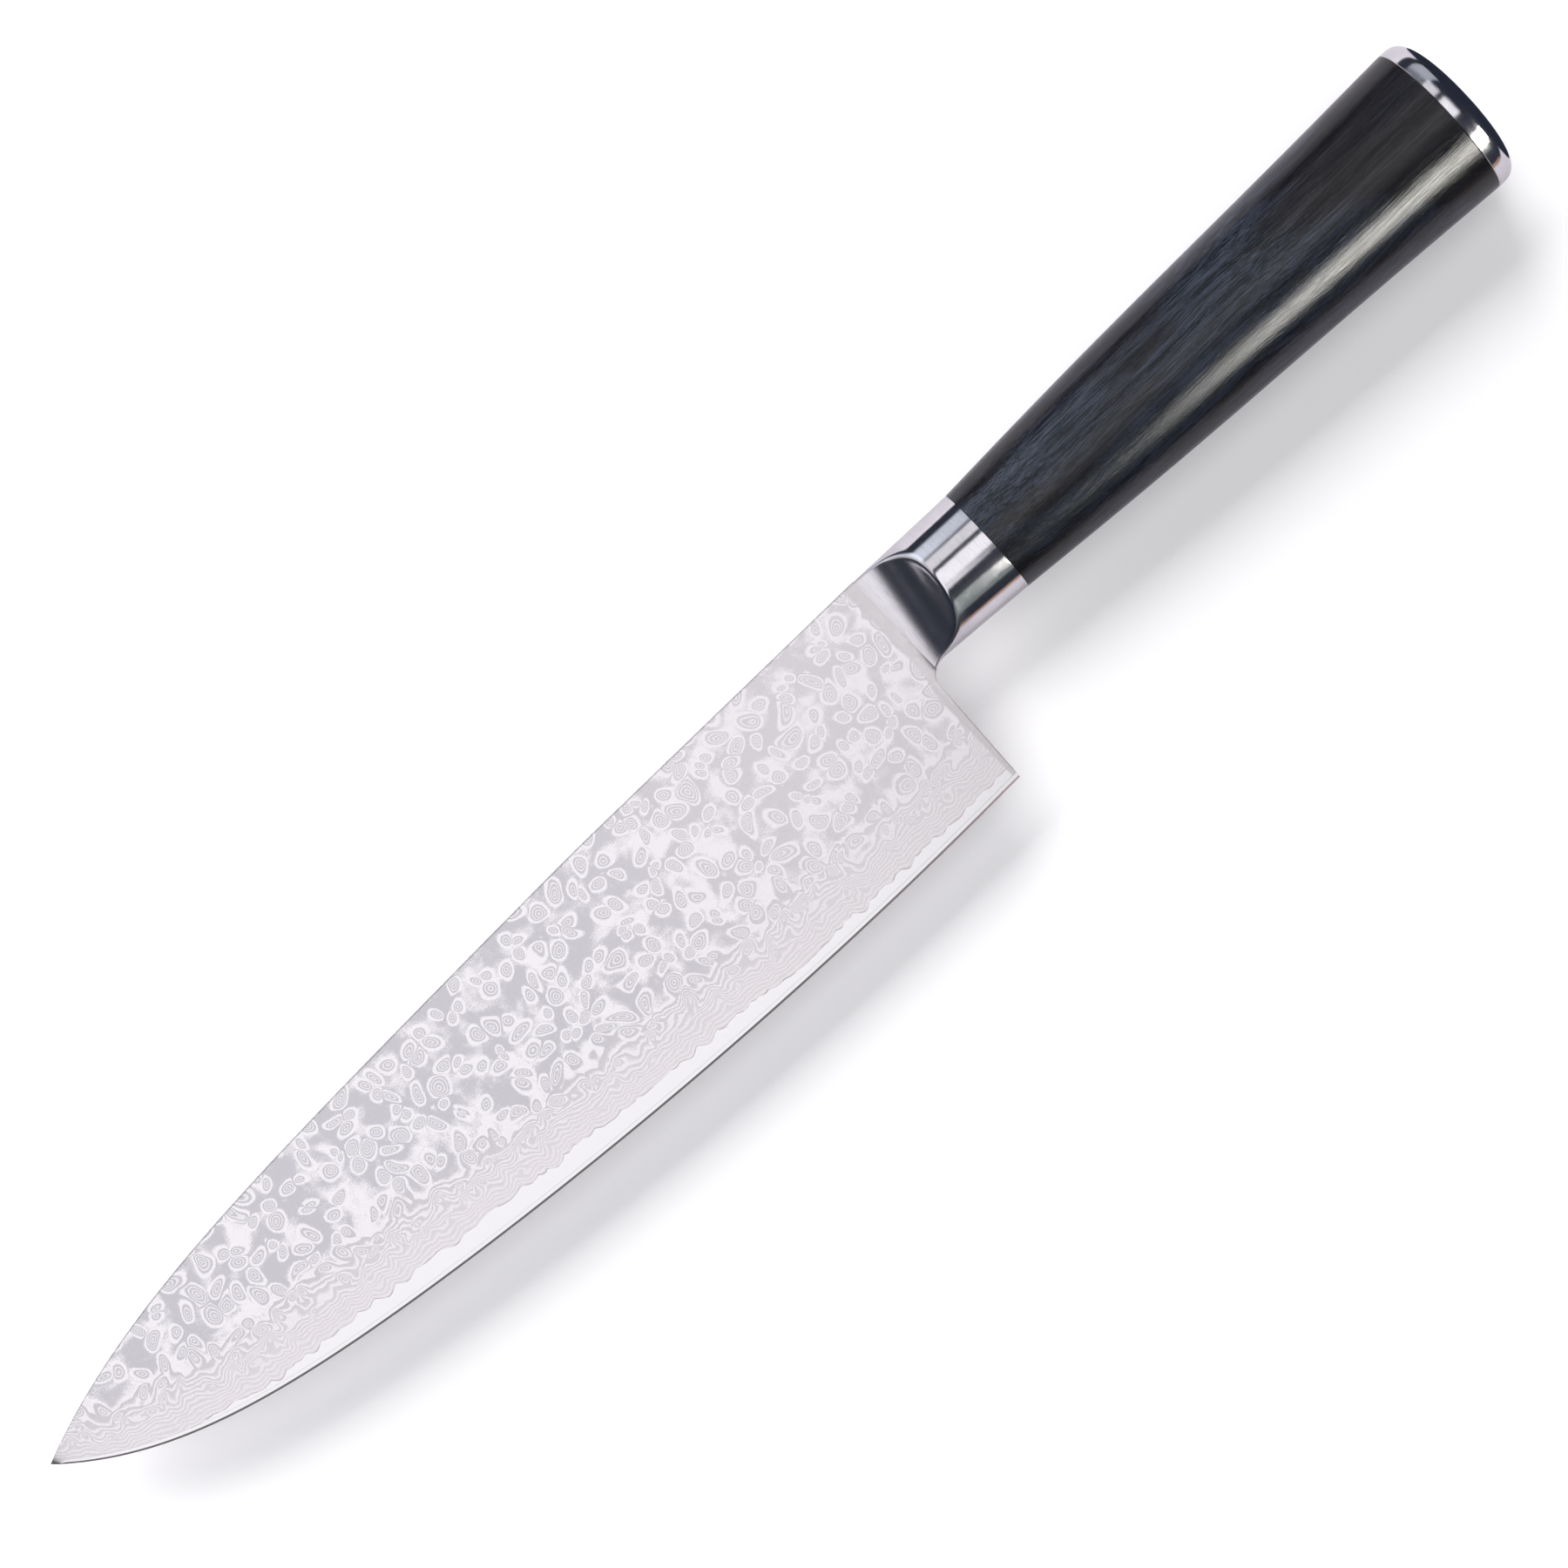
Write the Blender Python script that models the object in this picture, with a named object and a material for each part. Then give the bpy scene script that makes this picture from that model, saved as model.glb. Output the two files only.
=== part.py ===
"""A chef's knife: a 200 mm laminated blade, a ground steel bolster, an oval wood grip and a steel end cap.

Every shape is worked out in millimetres. The blade and the bolster use the knife's own lines: x runs
from the heel (0) towards the butt, y rises to the straight part of the spine (0), and z leaves the
middle of the blade (0) through its left flank. The grip and all that it holds use the handle's axis,
which starts at the back of the bolster and droops a little: there x is the distance along that axis.
Two empties place them, so that the knife lies on its right side with its middle over the origin.
"""

import math

import bmesh
import bpy

MM = 0.001

# Blade, in the knife's own lines
BLADE_LENGTH = 200.0
POINT = -199.95            # the last section before the point, which is left 0.3 mm tall
SPINE_STRAIGHT_TO = -58.0  # the spine is straight from here to the bolster
SPINE_SLOPE_DROP = 3.9     # how far the spine has sloped down at the point
SPINE_TIP_DROP = 9.5       # how far more it curves down there
SPINE_TIP_POWER = 5.6
EDGE_LOW_X = -22.0         # the edge's lowest place
EDGE_LOW_Y = -43.9
EDGE_BELLY_RISE = 18.5     # the edge's rise by the point: a parabola, then a sharper turn
EDGE_TIP_RISE = 12.05
EDGE_TIP_POWER = 10.3
HEEL_LEAN = 0.95           # the heel's back edge leans this far, from the edge up to the choil
CHOIL_X, CHOIL_Y = 5.3, -22.9  # centre of the oval arc from the heel's back edge to the bolster
CHOIL_RX, CHOIL_RY = 4.4, 3.1

# Blade thickness, as half thicknesses
FLANK_HEEL = 1.06          # at the spine by the heel
FLANK_PER_X = 0.0009       # each flank is one plane, which thins along the blade
FLANK_PER_Y = 0.0204       # and down it
TAPER_FROM = -130.0        # from here to the point the flank bends in to a fine tip
SPINE_TIP_SHARE = 0.55     # share of the plane's thickness that is left at the point
EDGE_TIP_HALF = 0.12
CORE_HALF = 0.17           # the hard core plate
LAMINATION_GAP = 0.02
FEATHER = 0.02             # least thickness of the outer layers, where the flank grinds through them
BEVEL_HEIGHT = 0.4         # the small bevel that makes the cutting edge
EDGE_HALF = 0.015

# Stub tang, ground from the same three layers
SHOULDER = 2.45            # the blade's shoulder, which meets the front of the bolster
TANG_TOP, TANG_BOTTOM = -3.6, -16.6
TANG_HALF = 0.75
TANG_LAYER_STEP = 0.03     # the layers stand this much further apart in the tang
TANG_STRAIGHT_TO = 26.0
TANG_END = 62.0
TANG_END_TOP, TANG_END_BOTTOM = -7.9, -15.3

# Bolster
BOLSTER_FRONT = SHOULDER + 0.02
BOLSTER_BACK = 23.75
BOLSTER_TOP = (-0.05, -0.45)      # at the front and at the back
BOLSTER_BOTTOM = (-19.8, -21.2)
BOLSTER_HALF = 8.35               # half thickness at the back
BOLSTER_TAPER = 0.75              # how much thinner it would be at the front, without its scoops
SCOOP_START = -0.1                # the ground scoops leave the plane of the blade's flanks here
SCOOP_RADIUS = 14.0
SCOOP_LEAN = math.radians(9.4)    # their axes lean, so that they reach further forward at the bottom
HEEL_PLAIN_FROM = -27.0           # the heel stays flat below this height
SLOT_CLEARANCE = 0.05

# Handle, along its own axis
DROOP = math.radians(1.16)
AXIS_Y = (BOLSTER_TOP[1] + BOLSTER_BOTTOM[1]) / 2
JOINT_GAP = 0.02
GRIP_LENGTH = 104.85
GRIP_WIDTH = (10.4, 15.1)         # half width at the bolster and at the butt
GRIP_WIDTH_SWELL = (0.30, 0.17)
GRIP_HALF = (8.35, 12.15)         # half thickness at the bolster and at the butt
GRIP_HALF_SWELL = (0.35, 0.10)
OVAL_POWER = 2.1                  # a little squarer than an ellipse
BORE_RADIUS = 4.2
MORTISE = (40.0, 15.6, 3.4)       # the slot for the stub tang: depth, height and thickness
POCKET_RADIUS = 7.0               # the pocket for the nut, in the butt
POCKET_DEPTH = 9.0

ROD_RADIUS = 3.0
ROD = (20.0, 104.0)               # from the fork's front to the threaded end
FORK_END = 38.6
FORK_SLOT = 1.6
ROD_CHAMFER = 0.6
EPOXY_CLEARANCE = 0.05
WASHER = (96.0, 1.6, 3.2, 6.0)    # place, thickness, bore radius, outer radius
NUT = (97.63, 5.0, 3.05, 5.0)     # place, thickness, bore radius, half of the width across flats
NUT_CHAMFER = 0.4

CAP_LENGTH = 5.45                 # from the joint to the butt
CAP_POWERS = (3.2, 4.0)           # how square the rim is, across the axis and along it
CAP_FLAT = 0.35                   # the flat on the butt, as a share of the joint face
SPIGOT_OUTER, SPIGOT_INNER = 6.9, 6.1
SPIGOT_LENGTH = 7.0
CAP_HOLLOW = 1.5                  # how far the spigot's bore runs on into the cap

AROUND = 72                       # points around an oval or a round section

CORE_STEEL = ("core_steel", (0.80, 0.81, 0.83), 1.0, 0.22)
LAYERED_STEEL = ("layered_steel", (0.66, 0.67, 0.70), 1.0, 0.35)
BOLSTER_STEEL = ("bolster_steel", (0.78, 0.78, 0.79), 1.0, 0.16)
PLAIN_STEEL = ("plain_steel", (0.55, 0.56, 0.58), 1.0, 0.38)
GRIP_WOOD = ("resin_wood", (0.035, 0.037, 0.050), 0.0, 0.28)
EPOXY = ("epoxy", (0.42, 0.30, 0.14), 0.0, 0.35)


def clear_scene():
    for old in list(bpy.data.objects):
        bpy.data.objects.remove(old, do_unlink=True)


def make_material(name, colour, metallic, roughness):
    material = bpy.data.materials.get(name) or bpy.data.materials.new(name)
    material.use_nodes = True
    material.diffuse_color = (*colour, 1.0)
    shader = material.node_tree.nodes["Principled BSDF"]
    shader.inputs["Base Color"].default_value = (*colour, 1.0)
    shader.inputs["Metallic"].default_value = metallic
    shader.inputs["Roughness"].default_value = roughness
    return material


def loft(rings):
    """A closed body through rings of points in millimetres, with the first and last rings filled."""
    body = bmesh.new()
    loops = [[body.verts.new([c * MM for c in point]) for point in ring] for ring in rings]
    for near, far in zip(loops, loops[1:]):
        for i in range(len(near)):
            j = (i + 1) % len(near)
            body.faces.new((near[i], near[j], far[j], far[i]))
    body.faces.new(loops[0])
    body.faces.new(loops[-1])
    bmesh.ops.recalc_face_normals(body, faces=body.faces)
    return body


def box(low, high):
    """A block between two corners, as a loft of two rectangles."""
    (x0, y0, z0), (x1, y1, z1) = low, high
    return loft([[(x, y0, z0), (x, y1, z0), (x, y1, z1), (x, y0, z1)] for x in (x0, x1)])


def add_object(name, body, parent, finish):
    mesh = bpy.data.meshes.new(name)
    body.to_mesh(mesh)
    body.free()
    mesh.shade_smooth()
    mesh.set_sharp_from_angle(angle=math.radians(30))
    mesh.materials.append(make_material(*finish))
    thing = bpy.data.objects.new(name, mesh)
    bpy.context.collection.objects.link(thing)
    thing.parent = parent
    return thing


def add_cutter(name, body, parent):
    cutter = add_object(name, body, parent, PLAIN_STEEL)
    cutter.hide_render = True
    cutter.display_type = "WIRE"
    return cutter


def shape_with(thing, cutter, operation):
    step = thing.modifiers.new(cutter.name, "BOOLEAN")
    step.object = cutter
    step.operation = operation


def add_empty(name, parent, location):
    empty = bpy.data.objects.new(name, None)
    empty.parent = parent
    empty.location = [c * MM for c in location]
    bpy.context.collection.objects.link(empty)
    return empty


# Outline and thickness of the blade


def spine_y(x):
    u = max(0.0, (SPINE_STRAIGHT_TO - x) / (BLADE_LENGTH + SPINE_STRAIGHT_TO))
    slope = SPINE_SLOPE_DROP * (math.hypot(u, 0.08) - 0.08)
    return -slope - SPINE_TIP_DROP * u**SPINE_TIP_POWER


def edge_y(x):
    v = (EDGE_LOW_X - x) / (BLADE_LENGTH + EDGE_LOW_X)
    return EDGE_LOW_Y + EDGE_BELLY_RISE * v**2 + EDGE_TIP_RISE * max(0.0, v) ** EDGE_TIP_POWER


def choil_drop(x):
    """How far the choil's arc has fallen away, at x, from the straight bottom of the bolster."""
    across = min(1.0, max(0.0, (CHOIL_X - x) / CHOIL_RX))
    return CHOIL_RY * (1 - math.sqrt(1 - across**2))


def bottom_y(x):
    """The blade's lower outline: the edge, then the heel's back edge, then the choil."""
    if x <= 0:
        return edge_y(x)
    if x <= HEEL_LEAN:
        return edge_y(0) + (CHOIL_Y - edge_y(0)) * x / HEEL_LEAN
    return CHOIL_Y + CHOIL_RY - choil_drop(x)


def flank_plane(x, y):
    return FLANK_HEEL + FLANK_PER_X * x + FLANK_PER_Y * y


def tip_share(x):
    """0 where the flank is a plane, growing to 1 at the point."""
    return max(0.0, (TAPER_FROM - x) / (BLADE_LENGTH + TAPER_FROM))


def scoop_rise(x, y):
    """How far the ground scoop stands above the flank's plane."""
    out = x - SCOOP_START - (y - AXIS_Y) * math.tan(SCOOP_LEAN)
    out = max(0.0, out) * math.cos(SCOOP_LEAN)
    return SCOOP_RADIUS - math.sqrt(SCOOP_RADIUS**2 - out**2)


def shoulder_rise(x, y):
    """How far the blade's flank swells, between the heel and the shoulder, to meet the scoop."""
    low = BOLSTER_BOTTOM[0]
    above_heel = min(1.0, max(0.0, (y - HEEL_PLAIN_FROM) / (low - HEEL_PLAIN_FROM)))
    return scoop_rise(SHOULDER, max(y, low)) * above_heel * (max(0.0, x) / SHOULDER) ** 2


def blade_half(x, y):
    if x >= TAPER_FROM:
        return flank_plane(x, y) + shoulder_rise(x, y)
    share = tip_share(x)
    at_spine = flank_plane(x, spine_y(x)) * (1 - (1 - SPINE_TIP_SHARE) * share**2)
    at_edge = flank_plane(TAPER_FROM, edge_y(TAPER_FROM)) * (1 - share) + EDGE_TIP_HALF * share
    down = (spine_y(x) - y) / (spine_y(x) - edge_y(x))
    return at_spine + (at_edge - at_spine) * down


def height_where(x, half):
    """The y at which the flank's half thickness is down to half."""
    top, low = spine_y(x), edge_y(min(x, 0.0))
    top_half, low_half = blade_half(x, top), blade_half(x, low)
    down = (top_half - half) / (top_half - low_half)
    return top + (low - top) * min(1.0, down)


def blade_stations():
    """The sections' places: close together at the point and around the heel."""
    tip = [POINT + (TAPER_FROM - POINT) * (k / 24) ** 1.8 for k in range(24)]
    belly = [TAPER_FROM * (1 - k / 18) for k in range(18)]
    heel = [0.0, 0.12, HEEL_LEAN, 1.25, 1.6, 2.0, SHOULDER]
    return tip + belly + heel


def tang_stations():
    """Sections of the tang: place, top and bottom."""
    return [
        (SHOULDER, TANG_TOP, TANG_BOTTOM),
        (TANG_STRAIGHT_TO, TANG_TOP, TANG_BOTTOM),
        (TANG_END, TANG_END_TOP, TANG_END_BOTTOM),
    ]


def core_ring(x):
    """A section of the core: flat sides, then the exposed strip, then the edge's bevel."""
    top, low = spine_y(x), bottom_y(x)
    bevel = min(BEVEL_HEIGHT, 0.25 * (top - low))
    strip = max(height_where(x, CORE_HALF), low + 1.5 * bevel)
    rows = [top, strip, low + bevel, low]
    halves = [min(CORE_HALF, blade_half(x, row)) for row in rows]
    if x <= 0:
        halves[-1] = EDGE_HALF
    left = [(x, y, half) for y, half in zip(rows, halves)]
    right = [(x, y, -z) for _, y, z in reversed(left)]
    return left + right


def core_tang_ring(x, top, bottom):
    half = CORE_HALF - TANG_LAYER_STEP
    rows = [top + (bottom - top) * k / 3 for k in range(4)]
    return [(x, y, half) for y in rows] + [(x, y, -half) for y in reversed(rows)]


def cladding_ring(x, side):
    """A section of an outer layer, from the spine down to where the flank grinds through it."""
    inner = CORE_HALF + LAMINATION_GAP
    low = max(bottom_y(x), height_where(x, inner + FEATHER))
    top = spine_y(x)
    corners = [(top, blade_half(x, top)), (low, blade_half(x, low)), (low, inner), (top, inner)]
    return [(x, y, side * z) for y, z in corners]


def cladding_tang_ring(x, top, bottom, side):
    inner = CORE_HALF + LAMINATION_GAP + TANG_LAYER_STEP
    corners = [(top, TANG_HALF), (bottom, TANG_HALF), (bottom, inner), (top, inner)]
    return [(x, y, side * z) for y, z in corners]


def make_blade(frame):
    rings = [core_ring(x) for x in blade_stations()]
    rings += [core_tang_ring(*station) for station in tang_stations()]
    add_object("core_steel", loft(rings), frame, CORE_STEEL)
    for name, side in (("cladding_left", 1), ("cladding_right", -1)):
        rings = [cladding_ring(x, side) for x in blade_stations()]
        rings += [cladding_tang_ring(*station, side) for station in tang_stations()]
        add_object(name, loft(rings), frame, LAYERED_STEEL)


# Bolster


def oval(x, centre_y, half_width, half_depth, lean=0.0):
    """A ring of points on an oval across x; lean tilts its plane so that its top stands further on."""
    ring = []
    for k in range(AROUND):
        angle = 2 * math.pi * k / AROUND
        across, up = math.cos(angle), math.sin(angle)
        y = math.copysign(abs(across) ** (2 / OVAL_POWER), across) * half_width
        z = math.copysign(abs(up) ** (2 / OVAL_POWER), up) * half_depth
        ring.append((x + y * lean, centre_y + y, z))
    return ring


def bolster_ring(x, lean=0.0):
    along = (x - BOLSTER_FRONT) / (BOLSTER_BACK - BOLSTER_FRONT)
    top = BOLSTER_TOP[0] + (BOLSTER_TOP[1] - BOLSTER_TOP[0]) * along
    bottom = BOLSTER_BOTTOM[0] + (BOLSTER_BOTTOM[1] - BOLSTER_BOTTOM[0]) * along - choil_drop(x)
    half_depth = BOLSTER_HALF - BOLSTER_TAPER * (1 - along) ** 2
    return oval(x, (top + bottom) / 2, (top - bottom) / 2, half_depth, lean)


def make_bolster(frame):
    stations = [BOLSTER_FRONT, 2.9, 3.4, 4.0, 4.6, CHOIL_X, 7.0, 9.0, 11.0, 13.0, 16.0, 19.0, 22.0]
    rings = [bolster_ring(x) for x in stations] + [bolster_ring(BOLSTER_BACK, math.tan(DROOP))]
    bolster = add_object("bolster", loft(rings), frame, BOLSTER_STEEL)
    for name, side in (("scoop_left", 1), ("scoop_right", -1)):
        body = bmesh.new()
        bmesh.ops.create_cone(
            body,
            cap_ends=True,
            segments=192,
            radius1=SCOOP_RADIUS * MM,
            radius2=SCOOP_RADIUS * MM,
            depth=60 * MM,
        )
        wheel = add_cutter(name, body, frame)
        tilt = math.atan(FLANK_PER_Y)
        centre_z = FLANK_HEEL + FLANK_PER_Y * AXIS_Y + SCOOP_RADIUS / math.cos(tilt)
        wheel.location = (SCOOP_START * MM, AXIS_Y * MM, side * centre_z * MM)
        wheel.rotation_euler = (math.pi / 2 + side * tilt, 0, -SCOOP_LEAN)
        shape_with(bolster, wheel, "DIFFERENCE")
    half = TANG_HALF + SLOT_CLEARANCE
    slot = add_cutter(
        "tang_slot",
        box(
            (BOLSTER_FRONT - 2, TANG_BOTTOM - SLOT_CLEARANCE, -half),
            (BOLSTER_BACK + 2, TANG_TOP + SLOT_CLEARANCE, half),
        ),
        frame,
    )
    shape_with(bolster, slot, "DIFFERENCE")


# Grip and end cap


def swelling(along, ends, swell):
    """A half width that grows from one end to the other and swells in between."""
    straight = ends[0] + (ends[1] - ends[0]) * along
    return straight + swell[0] * math.sin(math.pi * along) + swell[1] * math.sin(2 * math.pi * along)


def grip_section(x):
    along = min(1.0, x / GRIP_LENGTH)
    return swelling(along, GRIP_WIDTH, GRIP_WIDTH_SWELL), swelling(along, GRIP_HALF, GRIP_HALF_SWELL)


def circle(x, radius):
    """A ring whose points stand at the same angles as the oval's."""
    ring = []
    for _, y, z in oval(x, 0.0, 1.0, 1.0):
        length = math.hypot(y, z)
        ring.append((x, radius * y / length, radius * z / length))
    return ring


def make_grip(axis):
    steps = 15
    places = [JOINT_GAP + (GRIP_LENGTH - 2 * JOINT_GAP) * k / steps for k in range(steps + 1)]
    rings = [oval(x, 0.0, *grip_section(x)) for x in places]
    grip = add_object("handle_grip", loft(rings), axis, GRIP_WOOD)
    depth, height, thickness = MORTISE
    cuts = {
        "mortise": box((-2, -height / 2, -thickness / 2), (depth, height / 2, thickness / 2)),
        "bore": loft([circle(-3, BORE_RADIUS), circle(GRIP_LENGTH + 3, BORE_RADIUS)]),
        "nut_pocket": loft(
            [circle(GRIP_LENGTH - POCKET_DEPTH, POCKET_RADIUS), circle(GRIP_LENGTH + 4, POCKET_RADIUS)]
        ),
    }
    for name, body in cuts.items():
        shape_with(grip, add_cutter(name, body, axis), "DIFFERENCE")


def cap_rise(share):
    """How far along the cap its outline has narrowed to a share of the joint face; 1 at the very end."""
    return (1 - share ** CAP_POWERS[0]) ** (1 / CAP_POWERS[1])


def make_end_cap(axis):
    """One turned-and-ground piece: the hollow, the spigot, the joint face, the rim and the butt."""
    start = GRIP_LENGTH
    width, half = grip_section(start)
    rings = [
        circle(start + CAP_HOLLOW, SPIGOT_INNER),
        circle(start - SPIGOT_LENGTH, SPIGOT_INNER),
        circle(start - SPIGOT_LENGTH, SPIGOT_OUTER),
        circle(start + JOINT_GAP, SPIGOT_OUTER),
        oval(start + JOINT_GAP, 0.0, width, half),
    ]
    steps = 9
    last_turn = math.acos(CAP_FLAT ** (CAP_POWERS[0] / 2))
    for k in range(1, steps + 1):
        share = math.cos(last_turn * k / steps) ** (2 / CAP_POWERS[0])
        x = start + CAP_LENGTH * cap_rise(share) / cap_rise(CAP_FLAT)
        rings.append(oval(x, 0.0, width * share, half * share))
    add_object("end_cap", loft(rings), axis, BOLSTER_STEEL)


# Inside the handle


def make_rod(axis):
    front, end = ROD
    rings = [
        circle(front, ROD_RADIUS - ROD_CHAMFER),
        circle(front + ROD_CHAMFER, ROD_RADIUS),
        circle(end - ROD_CHAMFER, ROD_RADIUS),
        circle(end, ROD_RADIUS - ROD_CHAMFER),
    ]
    rod = add_object("tang_rod", loft(rings), axis, PLAIN_STEEL)
    half = FORK_SLOT / 2
    fork = add_cutter("fork_slot", box((front - 2, -5, -half), (FORK_END, 5, half)), axis)
    shape_with(rod, fork, "DIFFERENCE")


def make_epoxy(axis, frame):
    """The filling between the wood and the steel: a sleeve around the rod with a slab at the tang."""
    gap = EPOXY_CLEARANCE
    front, end = 0.3, GRIP_LENGTH - POCKET_DEPTH - 0.3
    sleeve = loft([circle(front, BORE_RADIUS - gap), circle(end, BORE_RADIUS - gap)])
    epoxy = add_object("tang_epoxy", sleeve, axis, EPOXY)
    depth, height, thickness = MORTISE
    height = height / 2 - gap
    thickness = thickness / 2 - gap
    slab = add_cutter(
        "epoxy_slab", box((front, -height, -thickness), (depth - gap, height, thickness)), axis
    )
    shape_with(epoxy, slab, "UNION")
    rod_hole = loft([circle(ROD[0] - gap, ROD_RADIUS + gap), circle(end + 2, ROD_RADIUS + gap)])
    shape_with(epoxy, add_cutter("rod_hole", rod_hole, axis), "DIFFERENCE")
    half = TANG_HALF + gap
    rings = []
    for x, top, bottom in tang_stations()[1:]:
        reach = x + gap if x == TANG_END else TANG_STRAIGHT_TO
        rings.append(
            [
                (reach, bottom - gap, -half),
                (reach, top + gap, -half),
                (reach, top + gap, half),
                (reach, bottom - gap, half),
            ]
        )
    rings.insert(0, [(SHOULDER, y, z) for _, y, z in rings[0]])
    shape_with(epoxy, add_cutter("tang_hole", loft(rings), frame), "DIFFERENCE")


def hexagon(x, half_flats):
    radius = half_flats / math.cos(math.pi / 6)
    angles = [math.pi * k / 3 for k in range(6)]
    return [(x, radius * math.cos(a), radius * math.sin(a)) for a in angles]


def make_fasteners(axis):
    place, thickness, bore, outer = WASHER
    washer = loft([circle(place, outer), circle(place + thickness, outer)])
    washer = add_object("tang_washer", washer, axis, PLAIN_STEEL)
    hole = add_cutter("washer_hole", loft([circle(place - 1, bore), circle(place + 3, bore)]), axis)
    shape_with(washer, hole, "DIFFERENCE")

    place, thickness, bore, half_flats = NUT
    rings = [
        hexagon(place, half_flats - NUT_CHAMFER),
        hexagon(place + NUT_CHAMFER, half_flats),
        hexagon(place + thickness - NUT_CHAMFER, half_flats),
        hexagon(place + thickness, half_flats - NUT_CHAMFER),
    ]
    nut = add_object("tang_nut", loft(rings), axis, PLAIN_STEEL)
    hole = add_cutter("nut_hole", loft([circle(place - 1, bore), circle(place + 6, bore)]), axis)
    shape_with(nut, hole, "DIFFERENCE")


def make_knife():
    clear_scene()
    butt = GRIP_LENGTH + CAP_LENGTH
    butt_x = BOLSTER_BACK + butt * math.cos(DROOP)
    handle_top = AXIS_Y - GRIP_LENGTH * math.sin(DROOP) + GRIP_WIDTH[1]
    middle_x = (butt_x + POINT) / 2
    middle_y = (handle_top + EDGE_LOW_Y) / 2
    frame = add_empty("knife_frame", None, (-middle_x, -middle_y, GRIP_HALF[1]))
    axis = add_empty("handle_axis", frame, (BOLSTER_BACK, AXIS_Y, 0))
    axis.rotation_euler.z = -DROOP
    make_blade(frame)
    make_bolster(frame)
    make_grip(axis)
    make_end_cap(axis)
    make_rod(axis)
    make_epoxy(axis, frame)
    make_fasteners(axis)
    bpy.context.view_layer.update()


make_knife()
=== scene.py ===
"""Looks for the chef's knife: fine meshes, procedural materials, floor, lights and camera.

The knife's own lines, in millimetres, are the ones the CAD model is built on: x from the heel (0)
towards the butt, y up to the straight part of the spine (0), z out of the left flank from the blade's
middle (0). The handle's own lines start at the back of the bolster and droop a little.
"""

import math

import bmesh
import bpy
from mathutils import Matrix, Vector


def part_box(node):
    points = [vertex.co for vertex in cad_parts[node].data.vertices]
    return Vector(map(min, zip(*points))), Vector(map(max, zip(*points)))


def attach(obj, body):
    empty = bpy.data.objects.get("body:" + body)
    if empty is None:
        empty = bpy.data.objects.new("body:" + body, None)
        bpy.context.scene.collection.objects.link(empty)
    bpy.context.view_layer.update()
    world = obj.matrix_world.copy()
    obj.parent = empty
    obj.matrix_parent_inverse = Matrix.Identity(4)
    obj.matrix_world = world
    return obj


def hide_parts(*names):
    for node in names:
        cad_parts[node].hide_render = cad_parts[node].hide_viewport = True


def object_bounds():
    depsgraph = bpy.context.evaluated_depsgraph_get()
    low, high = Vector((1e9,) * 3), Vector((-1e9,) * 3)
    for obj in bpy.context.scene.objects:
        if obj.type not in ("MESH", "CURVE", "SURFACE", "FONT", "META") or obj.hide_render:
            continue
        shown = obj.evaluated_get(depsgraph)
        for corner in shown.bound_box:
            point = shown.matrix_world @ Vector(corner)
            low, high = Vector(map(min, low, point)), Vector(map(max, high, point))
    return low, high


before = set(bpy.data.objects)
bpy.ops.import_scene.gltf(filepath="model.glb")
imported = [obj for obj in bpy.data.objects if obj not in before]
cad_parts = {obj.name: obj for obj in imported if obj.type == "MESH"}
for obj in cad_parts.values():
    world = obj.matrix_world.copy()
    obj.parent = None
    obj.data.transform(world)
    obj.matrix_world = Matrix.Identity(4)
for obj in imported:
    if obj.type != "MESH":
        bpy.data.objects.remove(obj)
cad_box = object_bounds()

MM = 0.001

# Lines shared with the CAD model, in millimetres
BLADE_LENGTH = 200.0
POINT = -199.95
SPINE_STRAIGHT_TO = -58.0
SPINE_SLOPE_DROP, SPINE_TIP_DROP, SPINE_TIP_POWER = 3.9, 9.5, 5.6
SPINE_BEND = 0.08      # share of the slope over which it sets in
EDGE_LOW_X, EDGE_LOW_Y = -22.0, -43.9
EDGE_BELLY_RISE, EDGE_TIP_RISE, EDGE_TIP_POWER = 18.5, 12.05, 10.3
HEEL_LEAN = 0.95
CHOIL_X, CHOIL_Y, CHOIL_RX, CHOIL_RY = 5.3, -22.9, 4.4, 3.1
FLANK_HEEL, FLANK_PER_X, FLANK_PER_Y = 1.06, 0.0009, 0.0204
TAPER_FROM, SPINE_TIP_SHARE, EDGE_TIP_HALF = -130.0, 0.55, 0.12
CORE_HALF, CLADDING_INNER = 0.17, 0.19
SHOULDER = 2.45
TANG = ((2.45, -3.6, -16.6), (26.0, -3.6, -16.6), (62.0, -7.9, -15.3))
TANG_HALF, TANG_STEP = 0.75, 0.03
BOLSTER_FRONT, BOLSTER_BACK = 2.47, 23.75
BOLSTER_TOP, BOLSTER_BOTTOM = (-0.05, -0.45), (-19.8, -21.2)
BOLSTER_HALF, BOLSTER_TAPER = 8.35, 0.75
SCOOP_START, SCOOP_RADIUS = -0.1, 14.0
SCOOP_LEAN = math.radians(9.4)
HEEL_PLAIN_FROM = -27.0
DROOP = math.radians(1.16)
AXIS_Y = (BOLSTER_TOP[1] + BOLSTER_BOTTOM[1]) / 2
JOINT_GAP = 0.02
GRIP_LENGTH = 104.85
GRIP_WIDTH, GRIP_WIDTH_SWELL = (10.4, 15.1), (0.30, 0.17)
GRIP_HALF, GRIP_HALF_SWELL = (8.35, 12.15), (0.35, 0.10)
OVAL_POWER = 2.1
BORE_RADIUS, POCKET_RADIUS, POCKET_DEPTH = 4.2, 7.0, 9.0
MORTISE = (40.0, 15.6, 3.4)
CAP_LENGTH, CAP_POWERS, CAP_FLAT = 5.45, (3.2, 4.0), 0.35
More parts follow.
